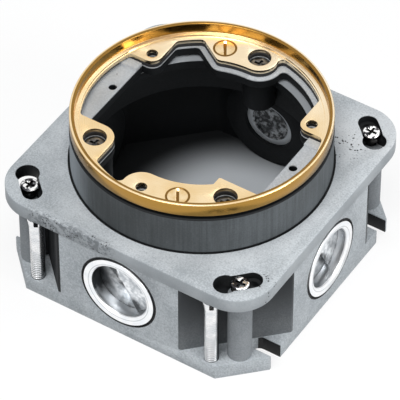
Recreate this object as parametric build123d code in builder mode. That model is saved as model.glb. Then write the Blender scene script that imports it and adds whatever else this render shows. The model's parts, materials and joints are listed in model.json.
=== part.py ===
from build123d import *
from math import cos, radians, sin
import os

os.makedirs("parts", exist_ok=True)

# Round adjustable floor socket box: a square cast box with four conduit entries, a cast top
# plate that turns on four clamp screws, and a device ring with a brass rim that rises on three
# adjusting screws. Millimetres, +Z up, origin at the centre of the underside.

# Box body
box_width = 119.4
wall_thickness = 5.5
floor_thickness = 3.0
body_height = 40.6
corner_cut = 31.0
cavity_corner = 4.0
foot_height = 7.0
foot_chamfer = 15.4
edge_round = 0.8
fixing_slot_width = 7.0
fixing_slot_depth = 11.0
fixing_slot_inset = 19.7
post_inset = 11.2
post_diameter = 9.6
post_web = 3.0

# Conduit entries
conduit_drop = 17.4
entry_bore = 32.4
entry_groove = 0.8
groove_depth = 1.0
hub_diameter = 40.0
hub_depth = 4.5
hub_lip = 2.3
lip_bore = 22.0
bushing_bore = 24.8
bushing_proud = 0.3
bushing_bevel = 0.9
plug_recess = 5.7
plug_disc = 1.4
plug_skirt_wall = 3.3
plug_end_gap = 1.6
plug_pad_height = 1.5
plug_pad_turn = -63.0

# Levelling screws
level_offset = 8.0
level_inset = 3.4
level_shank = 5.8
level_head = 7.4
level_head_length = 5.0
level_slot_width = 1.8
level_slot_depth = 3.2
level_top_gap = 0.4
level_bottom_gap = 0.3

# Top plate and collar
plate_overhang = 0.3
plate_thickness = 6.5
plate_gap = 0.1
plate_corner = 16.0
collar_diameter = 103.4
collar_height = 17.9
collar_edge = 0.5
foot_groove_width = 0.7
foot_groove_depth = 0.6
throat_diameter = 93.0
ledge_diameter = 86.0
ledge_thickness = 4.0
ring_bore = 97.4
ring_bore_depth = 6.6
boss_diameter = 13.4
boss_length = 14.5

# Keyhole slots and clamp screws
keyhole_width = 5.0
keyhole_recess = 8.0
keyhole_recess_depth = 3.4
keyhole_lobe = 9.6
lobe_angle = 4.8
slot_end_angle = 4.0
clamp_shank = 4.2
clamp_head = 7.4
clamp_head_height = 2.4
clamp_shank_length = 28.0
clamp_tip_room = 2.0
washer_thickness = 0.6
washer_gap = 1.2
head_edge = 0.5
cross_width = 1.1
cross_length = 4.6
cross_depth = 1.4
slot_turn = 32.7
screw_point = 0.5

# Device ring
ring_thickness = 4.0
ring_rise_gap = 1.1
device_hole_spacing = 83.3
device_hole = 3.4
tab_inner_width = 77.6
pad_start = 12.6
pad_end = 16.5
pad_height = 1.2
lip_reach = 2.0

# Opening of the brass ring, with a lobe at each screw
opening_diameter = 95.0
recess_depth = 1.5
lobe_inner_radius = 34.8
corner_lobe_edge = 22.4
mark_lobe_turn = 22.5
mark_lobe_slope = 33.0
mark_lobe_round = 3.0
root_round = 2.2
gasket_thickness = 1.8
gasket_inset = 0.2
gasket_hole = 5.0

# Screws of the ring
adjust_radius = 42.3
adjust_angles = (-135.0, -45.0, 90.0)
adjust_lobe = 7.5
adjust_shank = 6.0
adjust_head = 8.4
adjust_head_height = 2.1
adjust_seat_depth = 2.0
adjust_head_room = 0.3
adjust_screw_length = 17.0
clip_groove_depth = 0.7
clip_width = 2.3
clip_grip = 0.6
clip_thickness = 0.65
clip_recess_depth = 3.5
cover_radius = 42.7
cover_angles = (-90.0, 30.0, 150.0)
cover_hole = 4.6
cover_thread = 4.2
cover_lobe = 4.4
ring_screw_radius = 42.0
ring_screw_angles = (-70.0, 110.0)
ring_screw_head = 8.7
ring_screw_shank = 4.5
ring_screw_slot = 1.1
ring_screw_slot_depth = 0.7

# Brass ring
brass_diameter = 103.0
rim_thickness = 2.0
rim_height = 5.4
flange_thickness = 1.7
seat_width = 1.6
seat_step = 0.9
undercut_depth = 1.2
undercut_height = 1.4
brass_hole = 9.4
rim_edge = 0.3

# Clearances
running_fit = 0.1
thread_fit = 0.05
seat_gap = 0.1

# Heights worked out from the sizes above
half_box = box_width / 2
conduit_height = body_height - conduit_drop
plate_bottom = body_height + plate_gap
plate_top = plate_bottom + plate_thickness
collar_top = plate_top + collar_height
ledge_top = collar_top - ring_bore_depth
ring_bottom = ledge_top + ring_rise_gap
ring_top = ring_bottom + ring_thickness
flange_bottom = ring_top + gasket_thickness
flange_top = flange_bottom + flange_thickness
rim_top = flange_top + rim_height
recess_floor = plate_top - keyhole_recess_depth
washer_top = recess_floor + seat_gap + washer_thickness
clamp_bottom = washer_top - clamp_shank_length
boss_bottom = ledge_top - boss_length

# Places worked out from the sizes above
plate_width = box_width + 2 * plate_overhang
post_radius = (half_box - post_inset) * 2**0.5
post_angles = (45, 135, 225, 315)
level_x = half_box - post_inset - level_offset
level_y = half_box - level_inset
fixing_slot_spacing = box_width - 2 * fixing_slot_inset
walls = {"front": -90.0, "right": 0.0, "back": 90.0, "left": 180.0}
standing = (Align.CENTER, Align.CENTER, Align.MIN)
hanging = (Align.CENTER, Align.CENTER, Align.MAX)


def polar(radius, angle):
    """Point at a radius and an angle about the Z axis."""
    return (radius * cos(radians(angle)), radius * sin(radians(angle)))


def wall_plane(angle, distance):
    """Upright plane that faces outward at a conduit entry, its Z axis along the entry."""
    x, y = polar(distance, angle)
    across = polar(1, angle + 90)
    outward = polar(1, angle)
    return Plane(origin=(x, y, conduit_height), x_dir=(*across, 0), z_dir=(*outward, 0))


adjust_points = [polar(adjust_radius, angle) for angle in adjust_angles]
cover_points = [polar(cover_radius, angle) for angle in cover_angles]
ring_screw_points = [polar(ring_screw_radius, angle) for angle in ring_screw_angles]
posts = [polar(post_radius, angle) for angle in post_angles]


def lobed_opening(reach, depth):
    """Opening of a ring with a lobe round each screw. The reach makes the back lobe, the pointed
    one and the plain edge that much wider, and the depth is that of the recesses on the left."""
    outer_radius = opening_diameter / 2 - reach
    inner_radius = lobe_inner_radius - reach
    edge = corner_lobe_edge - reach
    side_x, side_y = cover_points[1]
    tip = polar(lobe_inner_radius, 90 + mark_lobe_turn)

    with BuildSketch() as corner_lobe:
        with Locations((-corner_lobe_edge, -corner_lobe_edge)):
            Rectangle(box_width, box_width, align=(Align.MAX, Align.MAX))
        fillet(corner_lobe.vertices().sort_by_distance((0, 0))[0], radius=adjust_lobe)

    with BuildSketch() as pointed_lobe:
        with Locations((edge, -edge)):
            Rectangle(box_width, box_width, align=(Align.MIN, Align.MAX))
        fillet(pointed_lobe.vertices().sort_by_distance((0, 0))[0], radius=edge_round + reach)

    with BuildSketch() as side_lobe:
        with Locations((side_x - cover_lobe, side_y - cover_lobe)):
            Rectangle(box_width, box_width, align=(Align.MIN, Align.MIN))
        fillet(side_lobe.vertices().sort_by_distance((0, 0))[0], radius=cover_lobe)

    with BuildSketch() as front_lobe:
        Circle(box_width / 2)
        Circle(lobe_inner_radius, mode=Mode.SUBTRACT)
        Rectangle(corner_lobe_edge, box_width, align=(Align.MIN, Align.MAX), mode=Mode.INTERSECT)
        with Locations(cover_points[0]):
            Circle(cover_radius - lobe_inner_radius)

    with BuildSketch() as back_lobe:
        Circle(box_width / 2)
        Circle(inner_radius, mode=Mode.SUBTRACT)
        Rectangle(box_width, box_width, align=(Align.MAX, Align.MIN), mode=Mode.INTERSECT)
        with Locations(Location((*tip, 0), (0, 0, -mark_lobe_slope))):
            with Locations((0, -reach)):
                Rectangle(2 * box_width, box_width, align=(Align.CENTER, Align.MIN), mode=Mode.INTERSECT)
        fillet(back_lobe.vertices().sort_by_distance(tip)[0], radius=mark_lobe_round + reach)
        with Locations(adjust_points[2]):
            Circle(adjust_lobe + reach)

    with BuildSketch() as opening:
        Circle(outer_radius)
        with BuildSketch(mode=Mode.INTERSECT):
            Circle(outer_radius - depth)
            Rectangle(box_width, box_width, align=(Align.MIN, Align.CENTER))
            with Locations((-side_x, 0)):
                Rectangle(box_width, box_width, align=(Align.MAX, Align.CENTER))
        for lobe in (corner_lobe, pointed_lobe, side_lobe, front_lobe, back_lobe):
            add(lobe.sketch, mode=Mode.SUBTRACT)
        add(mirror(side_lobe.sketch, about=Plane.YZ, mode=Mode.PRIVATE), mode=Mode.SUBTRACT)
        rim = outer_radius - depth - running_fit
        fillet([v for v in opening.vertices() if v.distance_to((0, 0)) > rim], radius=root_round)
    return opening.sketch


brass_opening = lobed_opening(0, recess_depth)
ring_opening = lobed_opening(lip_reach, 0)

# Plan of the box walls, a square with its corners cut off behind the posts
with BuildSketch() as wall_plan:
    Rectangle(box_width, box_width)
    chamfer(wall_plan.vertices(), length=corner_cut)

# Box body, open at the top, with a foot at each corner
with BuildPart() as box_body:
    with BuildSketch() as foot_plan:
        Rectangle(box_width, box_width)
        chamfer(foot_plan.vertices(), length=foot_chamfer)
    extrude(amount=foot_height)
    with BuildSketch(Plane.XY.offset(foot_height)) as wall_outline:
        add(wall_plan.sketch)
        fillet(wall_outline.vertices(), radius=edge_round)
    extrude(amount=body_height - foot_height)
    with BuildSketch(Plane.XY.offset(foot_height)):
        with Locations(*posts):
            Circle(post_diameter / 2)
        for angle in post_angles[:2]:
            Rectangle(2 * post_radius, post_web, rotation=angle)
    extrude(amount=body_height - foot_height)
    with BuildSketch(Plane.XY.offset(floor_thickness)) as cavity:
        add(wall_plan.sketch)
        offset(amount=-wall_thickness, mode=Mode.REPLACE)
        fillet(cavity.vertices(), radius=cavity_corner)
    extrude(amount=body_height, mode=Mode.SUBTRACT)
    for angle in walls.values():
        hub_start = half_box - wall_thickness - hub_depth
        with BuildSketch(wall_plane(angle, hub_start)):
            Circle(hub_diameter / 2)
            with Locations((0, (body_height + floor_thickness) / 2 - conduit_height)):
                Rectangle(hub_diameter, body_height - floor_thickness, mode=Mode.INTERSECT)
        extrude(amount=hub_depth + wall_thickness / 2)
        with BuildSketch(wall_plane(angle, hub_start)):
            Circle(lip_bore / 2)
        extrude(amount=hub_lip, mode=Mode.SUBTRACT)
        with BuildSketch(wall_plane(angle, hub_start + hub_lip)):
            Circle(entry_bore / 2)
        extrude(amount=wall_thickness + hub_depth, mode=Mode.SUBTRACT)
        with BuildSketch(wall_plane(angle, half_box - groove_depth)):
            Circle(entry_bore / 2 + entry_groove)
        extrude(amount=2 * groove_depth, mode=Mode.SUBTRACT)
    slot_centre = half_box - fixing_slot_depth / 2 + fixing_slot_width / 2
    with BuildSketch():
        with GridLocations(2 * slot_centre, fixing_slot_spacing, 2, 2):
            SlotCenterToCenter(fixing_slot_depth, fixing_slot_width)
    extrude(amount=foot_height, mode=Mode.SUBTRACT)
    with BuildSketch():
        with GridLocations(2 * level_x, 2 * level_y, 2, 2):
            Circle(level_shank / 2 + running_fit)
    extrude(amount=foot_height, mode=Mode.SUBTRACT)
    with BuildSketch(Plane.XY.offset(clamp_bottom - clamp_tip_room)):
        with Locations(*posts):
            Circle(clamp_shank / 2 + thread_fit)
    extrude(amount=body_height, mode=Mode.SUBTRACT)
box_body.part.label = "box_body"
export_step(box_body.part, "parts/box_body.step")

# Top plate with its round collar, turned on the clamp screws through four keyhole slots
with BuildPart() as top_plate:
    with BuildSketch(Plane.XY.offset(plate_bottom)):
        RectangleRounded(plate_width, plate_width, plate_corner)
    extrude(amount=plate_thickness)
    with BuildSketch(Plane.XY.offset(plate_top)):
        Circle(collar_diameter / 2)
    extrude(amount=collar_height)
    chamfer(top_plate.faces().sort_by(Axis.Z)[-1].edges(), length=collar_edge)
    with BuildSketch(Plane.XY.offset(plate_top)):
        Circle(collar_diameter / 2 + foot_groove_width)
        Circle(collar_diameter / 2, mode=Mode.SUBTRACT)
    extrude(amount=-foot_groove_depth, mode=Mode.SUBTRACT)
    with BuildSketch(Plane.XY.offset(plate_bottom)):
        Circle(throat_diameter / 2)
    extrude(amount=collar_top - plate_bottom, mode=Mode.SUBTRACT)
    with BuildSketch(Plane.XY.offset(ledge_top)):
        Circle(ring_bore / 2)
        Circle(ledge_diameter / 2, mode=Mode.SUBTRACT)
    extrude(amount=-ledge_thickness)
    with BuildSketch(Plane.XY.offset(ledge_top)):
        Circle(ring_bore / 2)
    extrude(amount=ring_bore_depth, mode=Mode.SUBTRACT)
    with BuildSketch(Plane.XY.offset(boss_bottom)):
        with Locations(*adjust_points):
            Circle(boss_diameter / 2)
    extrude(amount=ledge_top - boss_bottom)
    with BuildSketch(Plane.XY.offset(boss_bottom)):
        with Locations(*adjust_points):
            Circle(adjust_shank / 2)
    extrude(amount=ledge_top - boss_bottom, mode=Mode.SUBTRACT)
    with BuildSketch(Plane.XY.offset(ledge_top)):
        with Locations(*adjust_points):
            Circle(adjust_shank / 2 + clip_width)
    extrude(amount=-clip_recess_depth, mode=Mode.SUBTRACT)
    with BuildSketch(Plane.XY.offset(plate_bottom)):
        for corner in post_angles:
            path = CenterArc((0, 0), post_radius, corner - lobe_angle, lobe_angle + slot_end_angle)
            SlotArc(path, keyhole_width)
            with Locations(polar(post_radius, corner - lobe_angle)):
                Circle(keyhole_lobe / 2)
    extrude(amount=plate_thickness, mode=Mode.SUBTRACT)
    with BuildSketch(Plane.XY.offset(recess_floor)):
        for corner in post_angles:
            path = CenterArc((0, 0), post_radius, corner - lobe_angle, lobe_angle + slot_end_angle)
            SlotArc(path, keyhole_recess)
    extrude(amount=keyhole_recess_depth, mode=Mode.SUBTRACT)
top_plate.part.label = "top_plate"
export_step(top_plate.part, "parts/top_plate.step")

# Device ring, a cast plate that slides in the collar, with a tab on each side for the wiring device
with BuildPart() as device_ring:
    with BuildSketch(Plane.XY.offset(ring_bottom)):
        Circle(ring_bore / 2 - running_fit)
        with BuildSketch(mode=Mode.SUBTRACT):
            add(ring_opening)
            Rectangle(tab_inner_width, ring_bore, mode=Mode.INTERSECT)
    extrude(amount=ring_thickness)
    with BuildSketch(Plane.XY.offset(ring_top)):
        Circle(ring_bore / 2 - running_fit)
        with Locations((0, (pad_start + pad_end) / 2)):
            Rectangle(ring_bore, pad_end - pad_start, mode=Mode.INTERSECT)
        Rectangle(tab_inner_width, ring_bore, mode=Mode.SUBTRACT)
    extrude(amount=pad_height)
    with BuildSketch(Plane.XY.offset(ring_bottom)):
        with GridLocations(device_hole_spacing, 0, 2, 1):
            Circle(device_hole / 2)
        with Locations(*cover_points):
            Circle(cover_thread / 2)
        with Locations(*ring_screw_points):
            Circle(ring_screw_shank / 2 + thread_fit)
        with Locations(*adjust_points):
            Circle(adjust_shank / 2 + running_fit)
    extrude(amount=ring_thickness, mode=Mode.SUBTRACT)
    with BuildSketch(Plane.XY.offset(ring_top)):
        with Locations(*adjust_points):
            Circle(adjust_head / 2 + adjust_head_room)
    extrude(amount=-adjust_seat_depth, mode=Mode.SUBTRACT)
device_ring.part.label = "device_ring"
export_step(device_ring.part, "parts/device_ring.step")

# Two gaskets between the device ring and the brass ring, one in front of the tabs and one behind
front_gasket_start = root_round - corner_lobe_edge
back_gasket_start = pad_end + seat_gap
for name, start, side in (("front", front_gasket_start, Align.MAX), ("back", back_gasket_start, Align.MIN)):
    with BuildPart() as gasket:
        with BuildSketch(Plane.XY.offset(ring_top)):
            Circle(ring_bore / 2 - gasket_inset)
            add(brass_opening, mode=Mode.SUBTRACT)
            with Locations((0, start)):
                Rectangle(ring_bore, box_width, align=(Align.CENTER, side), mode=Mode.INTERSECT)
            with Locations(*cover_points, *ring_screw_points):
                Circle(gasket_hole / 2, mode=Mode.SUBTRACT)
            with Locations(*adjust_points):
                Circle(adjust_head / 2 + adjust_head_room, mode=Mode.SUBTRACT)
        extrude(amount=gasket_thickness)
    gasket.part.label = f"gasket_{name}"
    export_step(gasket.part, f"parts/gasket_{name}.step")

# Brass ring: an upright rim, a narrow seat for the cover and an inner flange with the lobes
with BuildPart() as brass_ring:
    with BuildSketch(Plane.XY.offset(flange_bottom)):
        Circle(brass_diameter / 2 - undercut_depth)
        add(brass_opening, mode=Mode.SUBTRACT)
    extrude(amount=flange_thickness)
    with BuildSketch(Plane.XY.offset(flange_top)):
        Circle(brass_diameter / 2 - rim_thickness)
        Circle(brass_diameter / 2 - rim_thickness - seat_width, mode=Mode.SUBTRACT)
    extrude(amount=seat_step)
    with BuildSketch(Plane.XY.offset(flange_bottom + undercut_height)):
        Circle(brass_diameter / 2)
        Circle(brass_diameter / 2 - rim_thickness, mode=Mode.SUBTRACT)
    extrude(amount=rim_top - flange_bottom - undercut_height)
    chamfer(brass_ring.faces().sort_by(Axis.Z)[-1].edges(), length=rim_edge)
    with BuildSketch(Plane.XY.offset(flange_bottom)):
        with Locations(*adjust_points):
            Circle(brass_hole / 2)
        with Locations(*cover_points):
            Circle(cover_hole / 2)
    extrude(amount=flange_thickness, mode=Mode.SUBTRACT)
    for x, y in ring_screw_points:
        with Locations(Location((x, y, flange_top))):
            Hole(ring_screw_shank / 2 + thread_fit, depth=flange_thickness)
            Cone(ring_screw_shank / 2 + thread_fit, ring_screw_head / 2 + thread_fit, flange_thickness,
                 align=hanging, mode=Mode.SUBTRACT)
brass_ring.part.label = "brass_ring"
export_step(brass_ring.part, "parts/brass_ring.step")

# Slotted flat-head screws that hold the brass ring, gaskets and device ring together
with BuildPart() as ring_screws:
    with Locations(*[(x, y, flange_top) for x, y in ring_screw_points]):
        Cone(ring_screw_shank / 2, ring_screw_head / 2, flange_thickness, align=hanging)
        Cylinder(ring_screw_shank / 2, flange_top - ring_bottom, align=hanging)
        Box(ring_screw_slot, ring_screw_head, 2 * ring_screw_slot_depth, rotation=(0, 0, slot_turn),
            mode=Mode.SUBTRACT)
ring_screws.part.label = "ring_screws"
export_step(ring_screws.part, "parts/ring_screws.step")

# Adjusting screws that turn in the device ring, are threaded into the bosses of the collar and
# are kept in the device ring by an open retaining clip in a groove under it
head_bottom = ring_top - adjust_seat_depth + seat_gap
head_top = head_bottom + adjust_head_height
clip_top = ring_bottom - seat_gap
clip_bottom = clip_top - clip_thickness
groove_radius = adjust_shank / 2 - clip_groove_depth
for name, (x, y) in zip(("left", "right", "back"), adjust_points):
    with BuildPart() as adjusting_screw:
        with Locations((x, y, head_bottom)):
            Cylinder(adjust_head / 2, adjust_head_height, align=standing)
            Cylinder(adjust_shank / 2, head_bottom - clip_top, align=hanging)
        chamfer(adjusting_screw.faces().sort_by(Axis.Z)[-1].edges(), length=head_edge)
        with Locations((x, y, clip_bottom)):
            Cylinder(groove_radius, clip_thickness, align=standing)
            Cylinder(adjust_shank / 2 - running_fit, adjust_screw_length, align=hanging)
        chamfer(adjusting_screw.faces().sort_by(Axis.Z)[0].edges(), length=screw_point)
        with BuildSketch(Plane.XY.offset(head_top)):
            with Locations((x, y)):
                Rectangle(cross_width, cross_length)
                Rectangle(cross_length, cross_width)
        extrude(amount=-cross_depth, mode=Mode.SUBTRACT)
    adjusting_screw.part.label = f"adjusting_screw_{name}"
    export_step(adjusting_screw.part, f"parts/adjusting_screw_{name}.step")

    with BuildPart() as clip:
        with BuildSketch(Plane.XY.offset(clip_bottom)):
            with Locations((x, y)):
                Circle(groove_radius + clip_width)
                Circle(groove_radius + thread_fit, mode=Mode.SUBTRACT)
                Rectangle(clip_width + groove_radius, 2 * (groove_radius - clip_grip),
                          align=(Align.MIN, Align.CENTER), mode=Mode.SUBTRACT)
        extrude(amount=clip_thickness)
    clip.part.label = f"retaining_clip_{name}"
    export_step(clip.part, f"parts/retaining_clip_{name}.step")

# Clamp screws that stand in the posts and hold the top plate down through its keyhole slots
with BuildPart() as clamp_screws:
    with Locations(*[(x, y, washer_top) for x, y in posts]):
        Cylinder(clamp_shank / 2, clamp_shank_length, align=hanging)
        Cylinder(clamp_head / 2, clamp_head_height, align=standing)
    chamfer(clamp_screws.faces().group_by(Axis.Z)[-1].edges(), length=head_edge)
    with BuildSketch(Plane.XY.offset(washer_top + clamp_head_height)):
        with Locations(*posts):
            Rectangle(cross_width, cross_length)
            Rectangle(cross_length, cross_width)
    extrude(amount=-cross_depth, mode=Mode.SUBTRACT)
clamp_screws.part.label = "clamp_screws"
export_step(clamp_screws.part, "parts/clamp_screws.step")

# Split washers under the clamp screws
with BuildPart() as clamp_washers:
    with BuildSketch(Plane.XY.offset(recess_floor + seat_gap)):
        with Locations(*posts):
            Circle(clamp_head / 2 + thread_fit)
            Circle(clamp_shank / 2 + thread_fit, mode=Mode.SUBTRACT)
            Rectangle(clamp_head, washer_gap, align=(Align.MIN, Align.CENTER), mode=Mode.SUBTRACT)
    extrude(amount=washer_thickness)
clamp_washers.part.label = "clamp_washers"
export_step(clamp_washers.part, "parts/clamp_washers.step")

# Levelling screws, threaded through the feet at the ends of the front and back walls
level_top = plate_bottom - level_top_gap
for row, y in (("front", -level_y), ("back", level_y)):
    for side, x in (("left", -level_x), ("right", level_x)):
        with BuildPart() as levelling_screw:
            with Locations((x, y, level_top)):
                Cylinder(level_shank / 2, level_top - level_bottom_gap, align=hanging)
                Cone(level_shank / 2, level_head / 2, level_head_length, align=hanging)
                Box(level_slot_width, level_head, 2 * level_slot_depth, rotation=(0, 0, slot_turn),
                    mode=Mode.SUBTRACT)
        levelling_screw.part.label = f"levelling_screw_{row}_{side}"
        export_step(levelling_screw.part, f"parts/levelling_screw_{row}_{side}.step")

# Each conduit entry: a reducing bushing in the wall, and a closing plug screwed into the bushing
bushing_back = half_box - wall_thickness - hub_depth + hub_lip + running_fit
bushing_front = half_box + bushing_proud
plug_back = bushing_back - hub_lip + plug_end_gap
plug_face = half_box - plug_recess
for name, angle in walls.items():
    with BuildPart() as bushing:
        with BuildSketch(wall_plane(angle, bushing_back)):
            Circle(entry_bore / 2 - thread_fit)
            Circle(bushing_bore / 2, mode=Mode.SUBTRACT)
        extrude(amount=bushing_front - bushing_back)
        front_face = bushing.faces().sort_by_distance(wall_plane(angle, box_width).origin)[0]
        chamfer(front_face.edges(), length=bushing_bevel)
    bushing.part.label = f"conduit_bushing_{name}"
    export_step(bushing.part, f"parts/conduit_bushing_{name}.step")

    with BuildPart() as plug:
        with BuildSketch(wall_plane(angle, plug_face - plug_disc)):
            Circle(bushing_bore / 2 - running_fit)
        extrude(amount=plug_disc)
        with BuildSketch(wall_plane(angle, plug_back)):
            Circle(lip_bore / 2 - running_fit)
            Circle(lip_bore / 2 - running_fit - plug_skirt_wall, mode=Mode.SUBTRACT)
        extrude(amount=plug_face - plug_disc - plug_back)
        with BuildSketch(wall_plane(angle, plug_face)):
            Circle(bushing_bore / 2 - running_fit)
            Rectangle(bushing_bore, bushing_bore, rotation=plug_pad_turn,
                      align=(Align.CENTER, Align.MIN), mode=Mode.INTERSECT)
        extrude(amount=plug_pad_height)
    plug.part.label = f"conduit_plug_{name}"
    export_step(plug.part, f"parts/conduit_plug_{name}.step")
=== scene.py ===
import json
from math import cos, pi, radians, sin

import bpy
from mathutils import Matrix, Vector

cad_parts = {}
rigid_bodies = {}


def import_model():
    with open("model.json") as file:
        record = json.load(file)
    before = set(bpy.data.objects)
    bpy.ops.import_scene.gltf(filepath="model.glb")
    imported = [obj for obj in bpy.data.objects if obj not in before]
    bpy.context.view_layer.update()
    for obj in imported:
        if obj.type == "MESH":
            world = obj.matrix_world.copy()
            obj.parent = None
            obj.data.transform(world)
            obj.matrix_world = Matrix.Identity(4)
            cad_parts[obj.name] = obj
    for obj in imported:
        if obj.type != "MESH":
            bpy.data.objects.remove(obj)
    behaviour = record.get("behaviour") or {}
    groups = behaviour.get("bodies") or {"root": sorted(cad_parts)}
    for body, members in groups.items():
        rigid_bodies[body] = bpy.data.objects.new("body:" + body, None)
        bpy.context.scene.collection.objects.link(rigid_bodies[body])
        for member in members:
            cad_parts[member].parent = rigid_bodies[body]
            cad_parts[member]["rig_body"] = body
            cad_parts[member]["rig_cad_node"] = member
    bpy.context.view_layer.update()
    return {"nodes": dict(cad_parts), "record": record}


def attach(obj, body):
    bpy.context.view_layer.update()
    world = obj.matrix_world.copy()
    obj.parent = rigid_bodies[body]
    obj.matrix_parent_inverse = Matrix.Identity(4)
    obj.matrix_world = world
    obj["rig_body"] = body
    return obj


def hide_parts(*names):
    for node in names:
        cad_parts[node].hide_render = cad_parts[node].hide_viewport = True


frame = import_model()

MM = 0.001

# Every size below is in millimetres, and every height is above the underside of the box.

# Body: walls, 45 degree walls behind the posts, posts, feet and the slots in them
FLOOR_TOP = 3.0
FOOT_TOP = 7.0
BODY_TOP = 40.6
WALL_OUTSIDE = 59.7
WALL_INSIDE = 54.2
DIAGONAL_OUTSIDE = 88.4
DIAGONAL_INSIDE = 80.6
POST = 48.5
POST_REACH = 5.2
FIXING_SLOT_START = 50
FIXING_SLOT_PLACE = 40
FIXING_SLOT_REACH = 3.6

# Conduit entries: the joint round the bushing, the bushing, and the inner end of the plug
ENTRY_HEIGHT = 23.2
JOINT_INSIDE = 16.1
JOINT_OUTSIDE = 17.35
BUSHING_BORE = 12.7
BUSHING_STEP = 13.9
PLUG_INNER_FACE = 53.2
PLUG_INNER_RADIUS = 8.9
PLUG_INNER_END = 51.7
PLUG_END_RADIUS = 8.4

# Top plate, its collar and the keyholes
PLATE_TOP = 47.2
COLLAR_TOP = 65.1
COLLAR_RADIUS = 51.7
RING_BORE = 48.7
LEDGE_TOP = 58.5
THROAT = 46.5
KEYHOLE_NEAR = 62.5
KEYHOLE_FAR = 74
KEYHOLE_SPREAD = 20
KEYHOLE_LIMIT = 58.3
CLAMP_FACE = 46.55

# Device ring, and the brass ring with its rim, its flange and its two screws
RING_TOP = 63.6
FLANGE_TOP = 67.0
RIM_FOOT = 68.1
RIM_OUTSIDE = 51.2
RIM_UNDERCUT = 49.9
RIM_INSIDE = 49.2
RIM_WALL = 49.7
LIP_OUTSIDE = 50.7
LIP_FOOT = 71.9
RIM_EDGE = 72.3
RING_SCREW_X = 14.36
RING_SCREW_Y = -39.47
RING_SCREW_HOLE = 4.55
RING_SCREW_HEAD = 3.95

# Levelling screws
SCREW_X = 40.5
SCREW_Y = 56.3
SCREW_CREST = 2.9
SCREW_ROOT = 2.5
SCREW_PITCH = 1.06
SCREW_HEAD = 35.2
THREAD_START = 1.2
THREAD_STEPS = 20

# Meshes
WELD = 0.002
FLAT_ANGLE = 0.5
BEVEL_ANGLE = 35
SMOOTH_ANGLE = 30
SMALL_BEVEL = 0.12
BEVELS = {"box_body": 0.35, "top_plate": 0.4, "device_ring": 0.3, "brass_ring": 0.2}

# Colours that more than one finish uses
CAST_LIGHT = (0.55, 0.585, 0.61)
CAST_DARK = (0.34, 0.37, 0.395)
# Painted shade, on the posts of the body and on the sides of the plate
SHADOW_GREY = (0.12, 0.13, 0.14)
STEEL_GREY = (0.30, 0.32, 0.34)
PIT = (0.03, 0.03, 0.032)
SHADE = (0.006, 0.007, 0.008)


def distance(along, across):
    """Length of the slanted side, from its two parts at right angles."""
    return (along * along + across * across).root()


class Wire:
    """One output of a shader node, which stands in a sum like a number."""

    def __init__(self, finish, socket):
        self.finish = finish
        self.socket = socket

    def __add__(self, other):
        return self.finish.maths("ADD", self, other)

    def __radd__(self, other):
        return self.finish.maths("ADD", other, self)

    def __sub__(self, other):
        return self.finish.maths("SUBTRACT", self, other)

    def __rsub__(self, other):
        return self.finish.maths("SUBTRACT", other, self)

    def __mul__(self, other):
        return self.finish.maths("MULTIPLY", self, other)

    def __rmul__(self, other):
        return self.finish.maths("MULTIPLY", other, self)

    def __gt__(self, other):
        return self.finish.maths("GREATER_THAN", self, other)

    def __lt__(self, other):
        return self.finish.maths("LESS_THAN", self, other)

    def size(self):
        """The value without its sign."""
        return self.finish.maths("ABSOLUTE", self)

    def root(self):
        return self.finish.maths("SQRT", self)

    def between(self, low, high):
        """1 between the two values, 0 outside them."""
        return (self > low) * (self < high)

    def rise(self, low, high):
        """0 below the low value, 1 above the high one, smooth between."""
        return self.finish.node("MapRange", {"interpolation_type": "SMOOTHSTEP", "clamp": True},
                                {"Value": self, "From Min": low, "From Max": high})


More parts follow.
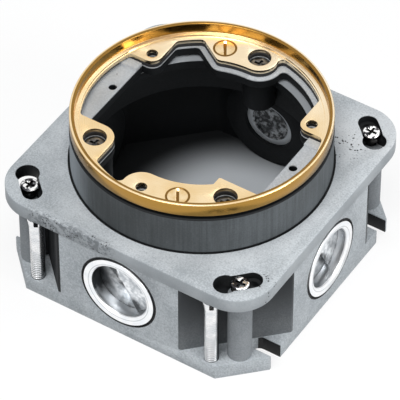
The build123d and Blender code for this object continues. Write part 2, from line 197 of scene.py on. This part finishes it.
class Finish:
    """A procedural material, built by short expressions on its wires. x, y, z and radius are millimetres."""

    def __init__(self, name, roughness=0.5, metallic=0.0):
        self.material = bpy.data.materials.new(name)
        self.material.use_nodes = True
        self.tree = self.material.node_tree
        self.tree.nodes.clear()
        self.shader = self.tree.nodes.new("ShaderNodeBsdfPrincipled")
        self.output = self.tree.nodes.new("ShaderNodeOutputMaterial")
        self.tree.links.new(self.shader.outputs["BSDF"], self.output.inputs["Surface"])
        self.set("Roughness", roughness)
        self.set("Metallic", metallic)
        self.place = self.node("TexCoord", output="Object")
        parts = self.tree.nodes.new("ShaderNodeSeparateXYZ")
        self.tree.links.new(self.place.socket, parts.inputs[0])
        self.x, self.y, self.z = (Wire(self, parts.outputs[axis]) * 1000 for axis in "XYZ")
        self.radius = distance(self.x, self.y)

    def put(self, socket, value):
        """Link a wire to a socket, or write a number or a colour on it."""
        if isinstance(value, Wire):
            self.tree.links.new(value.socket, socket)
        elif hasattr(socket.default_value, "__len__") and len(socket.default_value) == 4:
            socket.default_value = (*value, 1.0)
        else:
            socket.default_value = value

    def set(self, name, value):
        self.put(self.shader.inputs[name], value)

    def node(self, kind, settings=None, inputs=None, output=0):
        made = self.tree.nodes.new("ShaderNode" + kind)
        for name, value in (settings or {}).items():
            setattr(made, name, value)
        for name, value in (inputs or {}).items():
            self.put(made.inputs[name], value)
        return Wire(self, made.outputs[output])

    def maths(self, operation, *values):
        return self.node("Math", {"operation": operation}, dict(enumerate(values)))

    def mix(self, share, first, second):
        """Colour between the first, at 0, and the second, at 1."""
        made = self.tree.nodes.new("ShaderNodeMix")
        made.data_type = "RGBA"
        colours = [socket for socket in made.inputs if socket.type == "RGBA"]
        self.put(made.inputs[0], share)
        self.put(colours[0], first)
        self.put(colours[1], second)
        return Wire(self, next(socket for socket in made.outputs if socket.type == "RGBA"))

    def stretched(self, scale):
        """Object coordinates multiplied along each axis."""
        return self.node("Mapping", {"vector_type": "POINT"}, {"Vector": self.place, "Scale": scale})

    def noise(self, scale, detail=3.0, roughness=0.5, place=None):
        return self.node("TexNoise", None, {"Vector": place or self.place, "Scale": scale, "Detail": detail,
                                            "Roughness": roughness}, output="Fac")

    def cells(self, scale):
        """Distance from the middle of the nearest of many scattered cells."""
        return self.node("TexVoronoi", {"feature": "F1"}, {"Vector": self.place, "Scale": scale},
                         output="Distance")

    def spot(self, x, y):
        """Distance in plan from one upright line."""
        return distance(self.x - x, self.y - y)

    def entry(self):
        """Distance to the right, height and depth on whichever of the four entries is nearest."""
        long_way = self.y.size() > self.x.size()
        ahead = long_way * self.y + (1 - long_way) * self.x
        across = long_way * self.x - (1 - long_way) * self.y
        sign = (ahead > 0) * 2 - 1
        return across * sign * -1, self.z - ENTRY_HEIGHT, ahead.size()

    def bump(self, height, depth, strength):
        """Relief of the shading, its depth in millimetres."""
        normal = self.node("Bump", None, {"Height": height, "Distance": depth * MM, "Strength": strength},
                           output="Normal")
        self.set("Normal", normal)


def cast_finish(name, light, dark):
    """Cast iron under thin grey enamel: grain, slow mottling, sand pits and one chipped stretch of edge."""
    cast = Finish(name)
    mottle = cast.noise(90, detail=4)
    grain = cast.noise(1500, detail=3, roughness=0.7)
    rusty = 1 - cast.spot(43, 34).rise(6, 15)
    chipped = (1 - (cast.y + 61).size().rise(1.5, 4)) * (1 - (cast.x + 22).size().rise(14, 24))
    holes = 1 - cast.cells(800).rise(0.22, 0.36)
    patches = cast.noise(60, detail=2).rise(0.66, 0.74)
    pitted = holes * (patches + (rusty + chipped) * (cast.z > BODY_TOP)).rise(0.3, 0.9) \
        * cast.noise(350, detail=1).rise(0.48, 0.54)
    tone = (mottle * 0.45 + grain * 0.95).rise(0.50, 0.90)
    rough = chipped * (cast.z > BODY_TOP) * cast.noise(330, detail=4, roughness=0.7).rise(0.46, 0.56)
    painted = cast.mix(rough * 0.6, cast.mix(tone, dark, light), (0.10, 0.11, 0.12))
    cast.base = cast.mix(pitted, painted, PIT)
    cast.grain = grain
    cast.whole = 1 - pitted
    cast.set("Base Color", cast.base)
    cast.set("Roughness", 0.45 + 0.25 * grain)
    cast.set("Specular IOR Level", 0.2)
    cast.bump(grain * 0.6 + mottle * 0.5 - pitted, 0.25, 0.5)
    return cast


def body_finish():
    """Grey outside, with painted shade in the corner pockets, on the posts, on the inner walls, in the fixing
    slots and round the bushings, and a painted pool of light on the inner floor.
    """
    body = cast_finish("body_enamel", CAST_LIGHT, CAST_DARK)
    side, front = body.x.size(), body.y.size()
    above_foot = body.z > FOOT_TOP + 0.2
    inside = body.z.between(FLOOR_TOP - 0.2, BODY_TOP - 0.3) * (side < WALL_INSIDE + 0.3) \
        * (front < WALL_INSIDE + 0.3) * (side + front < DIAGONAL_INSIDE + 0.3)
    floor = inside * (body.z < FLOOR_TOP + 0.3)
    post = distance(side - POST, front - POST)
    # Painted shade in the corner pockets under the plate: deeper higher up, and near black in the pockets on
    # the left
    pocket = (side + front > DIAGONAL_OUTSIDE - 1.2) * above_foot * (post > POST_REACH)
    deep = (0.68 + 0.3 * body.z.rise(FOOT_TOP, BODY_TOP) + 0.5 * (body.x < 0)).rise(0, 1)
    colour = body.mix(pocket * deep, body.base, (0.03, 0.033, 0.036))
    colour = body.mix(pocket * (body.x < 0) * 0.75, colour, SHADE)
    # Painted shade on the posts under the plate
    colour = body.mix((post < POST_REACH) * above_foot * 0.65, colour, SHADOW_GREY)
    # Painted shade on the inner walls of the box
    colour = body.mix(inside, colour, SHADE)
    # Painted shade in the groove round each bushing and on the walls of the fixing slots in the feet
    across, up, depth = body.entry()
    joint = distance(across, up).between(JOINT_INSIDE, JOINT_OUTSIDE) * (depth > WALL_OUTSIDE - 1.3)
    slot = (side > FIXING_SLOT_START) * ((front - FIXING_SLOT_PLACE).size() < FIXING_SLOT_REACH) \
        * (body.z < FOOT_TOP - 0.4)
    colour = body.mix((joint + slot).rise(0, 1), colour, (0.012, 0.013, 0.014))
    # Painted pool of light on the inner floor, fading to painted shade away from it
    lit = body.mix(body.spot(10, 10).rise(29, 54), (0.55, 0.58, 0.61), SHADE)
    body.set("Base Color", body.mix(floor, colour, lit))
    return body.material


def plate_finish():
    """Grey plate with painted light in pale patches round the collar and at the back right, a turned collar
    with upright tool marks and painted light on its left and right, painted shade on the plate's sides, and
    painted shade in the keyholes and bore.
    """
    plate = cast_finish("plate_enamel", CAST_LIGHT, CAST_DARK)
    top = (plate.radius < COLLAR_RADIUS + 0.1) * (plate.z > COLLAR_TOP - 0.6)
    side = plate.radius.between(COLLAR_RADIUS - 0.6, COLLAR_RADIUS + 0.25) * (plate.z > PLATE_TOP + 0.2)
    foot = plate.radius.between(COLLAR_RADIUS - 0.7, COLLAR_RADIUS + 0.9) \
        * plate.z.between(PLATE_TOP - 1.2, PLATE_TOP + 0.35)
    bore = (plate.radius < RING_BORE + 0.5) * (plate.z < COLLAR_TOP - 0.2)
    ledge = bore * ((plate.z - LEDGE_TOP).size() < 0.25) * (plate.radius < THROAT)
    keyhole = plate.radius.between(KEYHOLE_NEAR, KEYHOLE_FAR) \
        * ((plate.x.size() - plate.y.size()).size() < KEYHOLE_SPREAD) \
        * (plate.x.size() < KEYHOLE_LIMIT) * (plate.y.size() < KEYHOLE_LIMIT) * (plate.z < PLATE_TOP - 0.3)
    edge = (plate.z < PLATE_TOP - 0.5) * (1 - bore) * (1 - keyhole)
    streaks = plate.noise(1.0, detail=4, place=plate.stretched((900, 900, 35)))
    cloud = plate.noise(55, detail=3)
    turned = streaks * 0.35 + cloud * 0.3 + plate.grain * 0.3
    # Painted light on the collar's turned side: much lighter on its left, a little lighter on its right
    bright = (1 - plate.x.rise(-52, -14)) * 1.5 + plate.x.rise(0, 50) * 0.18
    turned_and_lit = plate.mix((turned + bright).rise(0.3, 1.5), (0.042, 0.047, 0.049), (0.27, 0.30, 0.325))
    # Painted light: pale patches on the plate's top round the collar and at the back right corner, kept off the
    # pits
    painted_light_patches = ((1 - plate.radius.rise(55, 66)) * 0.36 + (1 - plate.spot(52, 50).rise(8, 28)) * 0.45) \
        * (plate.z > PLATE_TOP - 0.3) * (0.5 + cloud) * plate.whole
    # Painted shade on the sides of the plate, broken up by the grain
    colour = plate.mix(edge * 0.35 * plate.grain.rise(0.3, 0.7), plate.base, SHADOW_GREY)
    colour = plate.mix(painted_light_patches.rise(0, 1) * (plate.grain > 0.36), colour, (0.72, 0.74, 0.755))
    colour = plate.mix(side, colour, turned_and_lit)
    # Painted shade in the bore and keyholes, a painted shadow line round the foot of the collar and on the
    # collar's top under the brass ring; the ledge in the bore stays grey
    colour = plate.mix((bore + keyhole + foot + top).rise(0, 0.5), colour, SHADE)
    plate.set("Base Color", plate.mix(ledge, colour, STEEL_GREY))
    return plate.material


def ring_finish():
    """Light grey on the faces that carry the device, with painted shade on the left and near-black painted
    shade on the walls below them.
    """
    ring = cast_finish("device_ring_enamel", (0.56, 0.585, 0.61), (0.42, 0.445, 0.47))
    # Painted shade: darker on the left, and near black on the walls below the faces
    faces = ring.mix((ring.x < 0) * 0.35, ring.base, (0.18, 0.19, 0.20))
    ring.set("Base Color", ring.mix(ring.z < RING_TOP - 0.5, faces, SHADE))
    return ring.material


def brass_finish():
    """Turned yellow brass with fine tool rings about the Z axis; a painted reflection makes it paler towards
    the back, painted dark reflections lie on the rim's walls and lip, with painted shade in the screw holes and
    a painted shadow under the rim.
    """
    brass = Finish("brass", metallic=1.0)
    rings = brass.node("TexNoise", {"noise_dimensions": "1D"},
                       {"W": brass.radius, "Scale": 5.2, "Detail": 2}, output="Fac")
    cloud = brass.noise(70, detail=3)
    yellow = brass.mix((cloud * 0.7 + rings * 0.4).rise(0.3, 0.8), (0.84, 0.60, 0.30), (0.95, 0.78, 0.52))
    # Painted reflection: paler towards the back
    yellow = brass.mix(brass.y.rise(10, 40) * 0.5, yellow, (0.98, 0.89, 0.72))
    outside = (brass.radius > RIM_OUTSIDE) * (brass.z < RIM_EDGE)
    inside = brass.radius.between(RIM_INSIDE, RIM_WALL) * (brass.z > RIM_FOOT)
    lip = brass.radius.between(RIM_INSIDE, LIP_OUTSIDE) * (brass.z > LIP_FOOT)
    under = (brass.radius > RIM_UNDERCUT) * (brass.z < FLANGE_TOP)
    front_hole, back_hole = (
        (brass.spot(way * RING_SCREW_X, way * RING_SCREW_Y) - RING_SCREW_HOLE).size() < 0.3 for way in (1, -1))
    # Painted dark reflections on the rim's outer and inner walls and on its lip
    colour = brass.mix((outside + inside).rise(0, 1), yellow, (0.42, 0.235, 0.052))
    colour = brass.mix(lip, colour, (0.30, 0.16, 0.035))
    # Painted shade on the walls of the two screw holes
    colour = brass.mix(front_hole + back_hole, colour, (0.25, 0.13, 0.03))
    # Painted shadow under the rim
    brass.set("Base Color", brass.mix(under, colour, (0.012, 0.009, 0.006)))
    brass.set("Roughness", 0.14 + 0.16 * cloud)
    brass.bump(rings, 0.02, 0.35)
    return brass.material


def ring_screw_finish():
    """Brass screw heads, with painted shade in the slot and round the edge."""
    screw = Finish("screw_brass", roughness=0.2, metallic=1.0)
    cloud = screw.noise(300, detail=3)
    yellow = screw.mix(cloud.rise(0.3, 0.7), (0.80, 0.56, 0.27), (0.92, 0.73, 0.46))
    edge = (screw.spot(RING_SCREW_X, RING_SCREW_Y) > RING_SCREW_HEAD) \
        * (screw.spot(-RING_SCREW_X, -RING_SCREW_Y) > RING_SCREW_HEAD)
    # Painted shade in the slot and round the edge of each head
    slot_and_edge_shade = (edge + (screw.z < FLANGE_TOP - 0.05)).rise(0, 1)
    screw.set("Base Color", screw.mix(slot_and_edge_shade, yellow, (0.22, 0.11, 0.025)))
    screw.bump(cloud, 0.05, 0.5)
    return screw.material


def steel_finish(name, light, dark, roughness):
    """Steel with slow clouding under a fine grain."""
    steel = Finish(name, metallic=1.0)
    cloud = steel.noise(220, detail=4)
    grain = steel.noise(900, detail=3, roughness=0.6)
    steel.set("Base Color", steel.mix((cloud * 0.7 + grain * 0.4).rise(0.3, 0.8), dark, light))
    steel.set("Roughness", roughness + 0.2 * (cloud - 0.4))
    steel.bump(grain + cloud * 0.5, 0.03, 0.5)
    return steel.material


def bushing_finish():
    """Bright end ring with a painted shade line at the step; painted shade in the bore, deepest towards its
    upper left, away from the light.
    """
    bushing = Finish("bushing_zinc", roughness=0.28, metallic=1.0)
    across, up, depth = bushing.entry()
    radius = distance(across, up)
    cloud = bushing.noise(220, detail=4)
    bright = bushing.mix(cloud.rise(0.3, 0.7), (0.86, 0.89, 0.92), (0.98, 0.985, 0.99))
    # Painted shade in the bore, deepest towards its upper left
    bore = (radius < BUSHING_BORE) * (depth < WALL_OUTSIDE + 0.1)
    dark = ((up - across) * 0.06 + cloud).rise(0.1, 1.0) * 0.62 + 0.36
    # Painted shade line at the step
    step = ((radius - BUSHING_STEP).size() < 0.22) * 0.45
    colour = bushing.mix(step, bright, STEEL_GREY)
    bushing.set("Base Color", bushing.mix(bore * dark, colour, (0.02, 0.023, 0.026)))
    bushing.bump(bushing.noise(700) * 0.5 + cloud * 0.5, 0.03, 0.5)
    return bushing.material


def plug_finish():
    """Rough plated casting: a pale outer face with a broken painted shadow across it and painted shade at its
    lower left, a grey rim to its inner end and painted shade inside that end.
    """
    plug = Finish("plug_zinc", roughness=0.34)
    across, up, depth = plug.entry()
    radius = distance(across, up)
    cloud = plug.noise(160, detail=4)
    grain = plug.noise(600, detail=3)
    face = plug.mix((grain * 0.8 + cloud * 0.5).rise(0.45, 0.85), (0.45, 0.48, 0.51), (0.92, 0.94, 0.96))
    # Painted shadow: a broken diagonal band beside the raised pad, and painted shade towards the lower left
    slant = across * 0.75 + up * 0.65 + cloud * 9 - 4.5
    broken = plug.noise(300, detail=4, roughness=0.7).rise(0.34, 0.60)
    streak = (1 - (slant + 1.6).size().rise(0.6, 3.4)) * 0.85
    corner = (1 - slant.rise(-10, -3)) * 0.75
    painted_shadow = (streak + corner) * (0.40 + broken * 0.55)
    colour = plug.mix(painted_shadow.rise(0, 1), face, (0.02, 0.024, 0.028))
    # Painted shade inside the inner end, broken by the grain
    inside = (depth < PLUG_INNER_FACE) * (radius < PLUG_INNER_RADIUS)
    colour = plug.mix(inside * grain.rise(0.3, 0.6), colour, (0.015, 0.016, 0.018))
    end = (depth < PLUG_INNER_END) * (radius > PLUG_END_RADIUS)
    plug.set("Base Color", plug.mix(end, colour, (0.50, 0.53, 0.56)))
    plug.set("Metallic", 1 - 0.85 * (depth < PLUG_INNER_FACE))
    plug.bump(grain + cloud * 0.5, 0.12, 0.6)
    return plug.material


def leveller_finish():
    """Bright zinc on the crests of the thread, with painted shade in its roots and on the side next to the
    post.
    """
    screw = Finish("leveller_zinc", roughness=0.26, metallic=1.0)
    along = screw.x.size() - SCREW_X
    across = screw.y.size() - SCREW_Y
    cloud = screw.noise(220, detail=4)
    bright = screw.mix(cloud.rise(0.3, 0.7), (0.74, 0.76, 0.78), (0.95, 0.95, 0.95))
    # Painted shade in the roots of the thread
    root = (1 - distance(along, across).rise(SCREW_ROOT + 0.05, SCREW_CREST - 0.1)) * (screw.z < SCREW_HEAD)
    # Painted shade on the side next to the post
    post_side_shade = (along - across).rise(2.0, 3.2) * (screw.z < SCREW_HEAD + 1)
    colour = screw.mix(root * 0.75, bright, (0.16, 0.17, 0.18))
    screw.set("Base Color", screw.mix(post_side_shade * 0.85, colour, (0.05, 0.053, 0.056)))
    screw.bump(screw.noise(900) * 0.5 + cloud * 0.5, 0.03, 0.5)
    return screw.material


def clamp_finish():
    """Bright on top of the head with stains and painted dark reflections, and painted shade in the cross recess
    and down in the keyhole.
    """
    clamp = Finish("clamp_zinc", roughness=0.25, metallic=1.0)
    # Dark patches on the head: stains, and painted dark reflections
    stains_and_reflections = clamp.noise(420, detail=2).rise(0.45, 0.53)
    bright = clamp.mix(stains_and_reflections, (0.95, 0.95, 0.95), (0.05, 0.05, 0.055))
    # Painted shade below the top of the head
    clamp.set("Base Color", clamp.mix(clamp.z < CLAMP_FACE, bright, (0.02, 0.02, 0.02)))
    clamp.bump(clamp.noise(700, detail=3), 0.1, 0.6)
    return clamp.material


def rubber_finish():
    """Black moulded rubber."""
    rubber = Finish("gasket_rubber")
    grain = rubber.noise(1600, detail=3)
    rubber.set("Base Color", rubber.mix(grain, (0.008, 0.008, 0.009), (0.02, 0.02, 0.022)))
    rubber.set("Roughness", 0.6 + 0.25 * grain)
    rubber.bump(grain, 0.05, 0.5)
    return rubber.material


# By a word in the name of the node; the first that fits is taken
FINISHES = {
    "box_body": body_finish(),
    "top_plate": plate_finish(),
    "device_ring": ring_finish(),
    "brass_ring": brass_finish(),
    "clamp": clamp_finish(),
    "ring_screws": ring_screw_finish(),
    "levelling_screw": leveller_finish(),
    "bushing": bushing_finish(),
    "plug": plug_finish(),
    # The adjusting screws sit deep in their holes; their dark colour is painted shade
    "adjusting_screw": steel_finish("adjusting_steel_shaded", (0.16, 0.155, 0.15), (0.05, 0.05, 0.05), 0.35),
    "clip": steel_finish("clip_steel", (0.30, 0.30, 0.31), (0.16, 0.16, 0.17), 0.4),
    "gasket": rubber_finish(),
}


def weld():
    """Join the loose triangles of the mesh that is open for editing."""
    bpy.ops.mesh.select_all(action="SELECT")
    bpy.ops.mesh.remove_doubles(threshold=WELD * MM)


def turned_down(piece):
    """The shank of a levelling screw is brought in to the root of its thread."""
    bpy.ops.object.mode_set(mode="OBJECT")
    mesh = piece.data
    corner = mesh.vertices[0].co
    centre = Vector((SCREW_X * (1 if corner.x > 0 else -1), SCREW_Y * (1 if corner.y > 0 else -1), 0)) * MM
    for part in (mesh.vertices, mesh.edges, mesh.polygons):
        for item in part:
            item.select = False
    for vertex in mesh.vertices:
        away = (vertex.co - centre).to_2d().length
        on_shank = 0.9 * SCREW_CREST * MM < away < 1.05 * SCREW_CREST * MM
        vertex.select = on_shank and vertex.co.z < (SCREW_HEAD + 0.1) * MM
    bpy.ops.object.mode_set(mode="EDIT")
    share = SCREW_ROOT / SCREW_CREST
    bpy.ops.transform.resize(value=(share, share, 1), center_override=centre)
    bpy.ops.mesh.select_all(action="SELECT")


def thread_ridge():
    """A ridge that winds up about the Z axis, swept from a small triangle, its two ends closed."""
    bpy.ops.object.select_all(action="DESELECT")
    bpy.ops.mesh.primitive_circle_add(vertices=3, radius=MM, rotation=(pi / 2, pi / 2, 0))
    ridge = bpy.context.object
    bpy.ops.object.transform_apply(location=True, rotation=True, scale=True)
    depth = SCREW_CREST - SCREW_ROOT + 0.1
    bpy.ops.object.mode_set(mode="EDIT")
    bpy.ops.mesh.select_all(action="SELECT")
    bpy.ops.transform.resize(value=(depth / 1.5, 1, SCREW_PITCH * 0.96 / 3 ** 0.5), center_override=(0, 0, 0))
    bpy.ops.transform.translate(value=((SCREW_CREST - depth / 1.5) * MM, 0, THREAD_START * MM))
    bpy.ops.object.mode_set(mode="OBJECT")
    sweep = ridge.modifiers.new("turns", "SCREW")
    sweep.steps = sweep.render_steps = THREAD_STEPS
    sweep.iterations = int((SCREW_HEAD - 1.8) / SCREW_PITCH)
    sweep.screw_offset = SCREW_PITCH * MM
    bpy.ops.object.modifier_apply(modifier=sweep.name)
    bpy.ops.object.mode_set(mode="EDIT")
    weld()
    bpy.ops.mesh.fill_holes(sides=3)
    bpy.ops.mesh.normals_make_consistent(inside=False)
    bpy.ops.object.mode_set(mode="OBJECT")
    ridge.data.materials.append(FINISHES["levelling_screw"])
    return ridge


def dressed(node, bevel):
    """A copy of a node with its loose triangles joined and its sharp edges broken by a small bevel."""
    source = frame["nodes"][node]
    bpy.ops.object.select_all(action="DESELECT")
    piece = source.copy()
    piece.data = source.data.copy()
    piece.parent = None
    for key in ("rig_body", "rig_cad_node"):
        del piece[key]
    piece.name = node + "_shown"
    bpy.context.scene.collection.objects.link(piece)
    piece.select_set(True)
    bpy.context.view_layer.objects.active = piece
    bpy.ops.object.mode_set(mode="EDIT")
    weld()
    # The large flat faces of these are rings, and a bevel fills a joined face round a hole badly
    if not any(word in node for word in ("device_ring", "brass_ring", "gasket")):
        bpy.ops.mesh.dissolve_limited(angle_limit=radians(FLAT_ANGLE))
    if "levelling" in node:
        turned_down(piece)
    bpy.ops.object.mode_set(mode="OBJECT")
    edge = piece.modifiers.new("edge", "BEVEL")
    edge.width = bevel * MM
    edge.segments = 2
    edge.limit_method = "ANGLE"
    edge.angle_limit = radians(BEVEL_ANGLE)
    bpy.ops.object.modifier_apply(modifier=edge.name)
    bpy.ops.object.shade_smooth_by_angle(angle=radians(SMOOTH_ANGLE))
    piece.data.materials.clear()
    piece.data.materials.append(next(finish for word, finish in FINISHES.items() if word in node))
    body = next(name for name, members in frame["record"]["behaviour"]["bodies"].items() if node in members)
    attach(piece, body)
    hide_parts(node)


for node in frame["nodes"]:
    dressed(node, BEVELS.get(node, SMALL_BEVEL))


ridge = thread_ridge()
for row, y in (("front", -SCREW_Y), ("back", SCREW_Y)):
    for side, x in (("left", -SCREW_X), ("right", SCREW_X)):
        bpy.ops.object.select_all(action="DESELECT")
        ridge.select_set(True)
        bpy.context.view_layer.objects.active = ridge
        bpy.ops.object.duplicate()
        copy = bpy.context.object
        copy.name = f"thread_{row}_{side}"
        bpy.ops.object.mode_set(mode="EDIT")
        bpy.ops.mesh.select_all(action="SELECT")
        bpy.ops.transform.translate(value=(x * MM, y * MM, 0))
        bpy.ops.object.mode_set(mode="OBJECT")
        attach(copy, f"leveller_{row}_{side}")
bpy.data.objects.remove(ridge)


def camera():
    """The photograph's view: long lens, 45.7 degrees above the floor and 32.7 degrees round to the right."""
    turn, height, reach = radians(32.7), radians(45.735), 1.425
    back = Vector((sin(turn) * cos(height), -cos(turn) * cos(height), sin(height)))
    right = Vector((cos(turn), sin(turn), 0))
    aim = Vector((0, 0, 23.6 * MM)) - right * 0.7 * MM - back.cross(right) * 0.417 * MM
    lens = bpy.data.cameras.new("camera")
    lens.sensor_width = 36
    lens.lens = 323.2
    lens.clip_start, lens.clip_end = 0.05, 20
    eye = bpy.data.objects.new("camera", lens)
    eye.location = aim + back * reach
    eye.rotation_mode = "QUATERNION"
    eye.rotation_quaternion = (-back).to_track_quat("-Z", "Y")
    bpy.context.scene.collection.objects.link(eye)
    bpy.context.scene.camera = eye


def lamp(name, place, size, power):
    """A soft box that is turned to the middle of the object."""
    light = bpy.data.lights.new(name, "AREA")
    light.shape = "RECTANGLE"
    light.size, light.size_y = size
    light.energy = power
    shade = bpy.data.objects.new(name, light)
    shade.location = place
    shade.rotation_mode = "QUATERNION"
    shade.rotation_quaternion = (Vector((0, 0, 0.03)) - Vector(place)).to_track_quat("-Z", "Y")
    bpy.context.scene.collection.objects.link(shade)


def shown_directly(tree):
    """1 for a ray that shows a surface: from the camera, off a gloss or through glass."""
    path = tree.nodes.new("ShaderNodeLightPath")
    total = path.outputs["Is Camera Ray"]
    for name in ("Is Glossy Ray", "Is Transmission Ray"):
        either = tree.nodes.new("ShaderNodeMath")
        either.operation = "MAXIMUM"
        tree.links.new(total, either.inputs[0])
        tree.links.new(path.outputs[name], either.inputs[1])
        total = either.outputs[0]
    return total


def blended(tree, share, first, second, output):
    """Two shaders mixed by a share and led to the output of the tree."""
    blend = tree.nodes.new("ShaderNodeMixShader")
    for socket, entry in zip((share, first, second), blend.inputs):
        tree.links.new(socket, entry)
    tree.links.new(blend.outputs[0], output.inputs["Surface"])


def floor():
    """White floor that keeps a soft shadow."""
    bpy.ops.object.select_all(action="DESELECT")
    bpy.ops.mesh.primitive_plane_add(size=6, location=(0, 0, 0))
    plane = bpy.context.object
    plane.name = "studio_floor"
    surface = Finish("studio_floor", roughness=0.9)
    seen = Wire(surface, shown_directly(surface.tree))
    surface.set("Base Color", surface.mix(seen, (0.45, 0.45, 0.45), (1, 1, 1)))
    surface.set("Specular IOR Level", 0.0)
    glow = surface.tree.nodes.new("ShaderNodeEmission")
    glow.inputs["Color"].default_value = (1, 1, 1, 1)
    blended(surface.tree, (seen * 0.8).socket, surface.shader.outputs[0], glow.outputs[0], surface.output)
    plane.data.materials.append(surface.material)


def surround():
    """White where it is seen, and a low, slightly cool light on everything else."""
    world = bpy.data.worlds.new("surround")
    bpy.context.scene.world = world
    world.use_nodes = True
    tree = world.node_tree
    tree.nodes.clear()
    skies = []
    for colour, strength in (((0.90, 0.95, 1.0, 1), 0.18), ((1, 1, 1, 1), 1.0)):
        sky = tree.nodes.new("ShaderNodeBackground")
        sky.inputs["Color"].default_value = colour
        sky.inputs["Strength"].default_value = strength
        skies.append(sky.outputs[0])
    blended(tree, shown_directly(tree), *skies, tree.nodes.new("ShaderNodeOutputWorld"))


camera()
floor()
surround()
lamp("back_softbox", (0.25, 0.75, 0.95), (0.7, 0.7), 3)
lamp("overhead_softbox", (0.0, -0.45, 1.25), (0.8, 0.8), 11)
lamp("right_softbox", (1.1, 0.0, 0.5), (0.5, 0.6), 7)
lamp("front_softbox", (0.15, -1.1, 0.55), (0.6, 0.5), 3)
bpy.context.scene.view_settings.view_transform = "Standard"
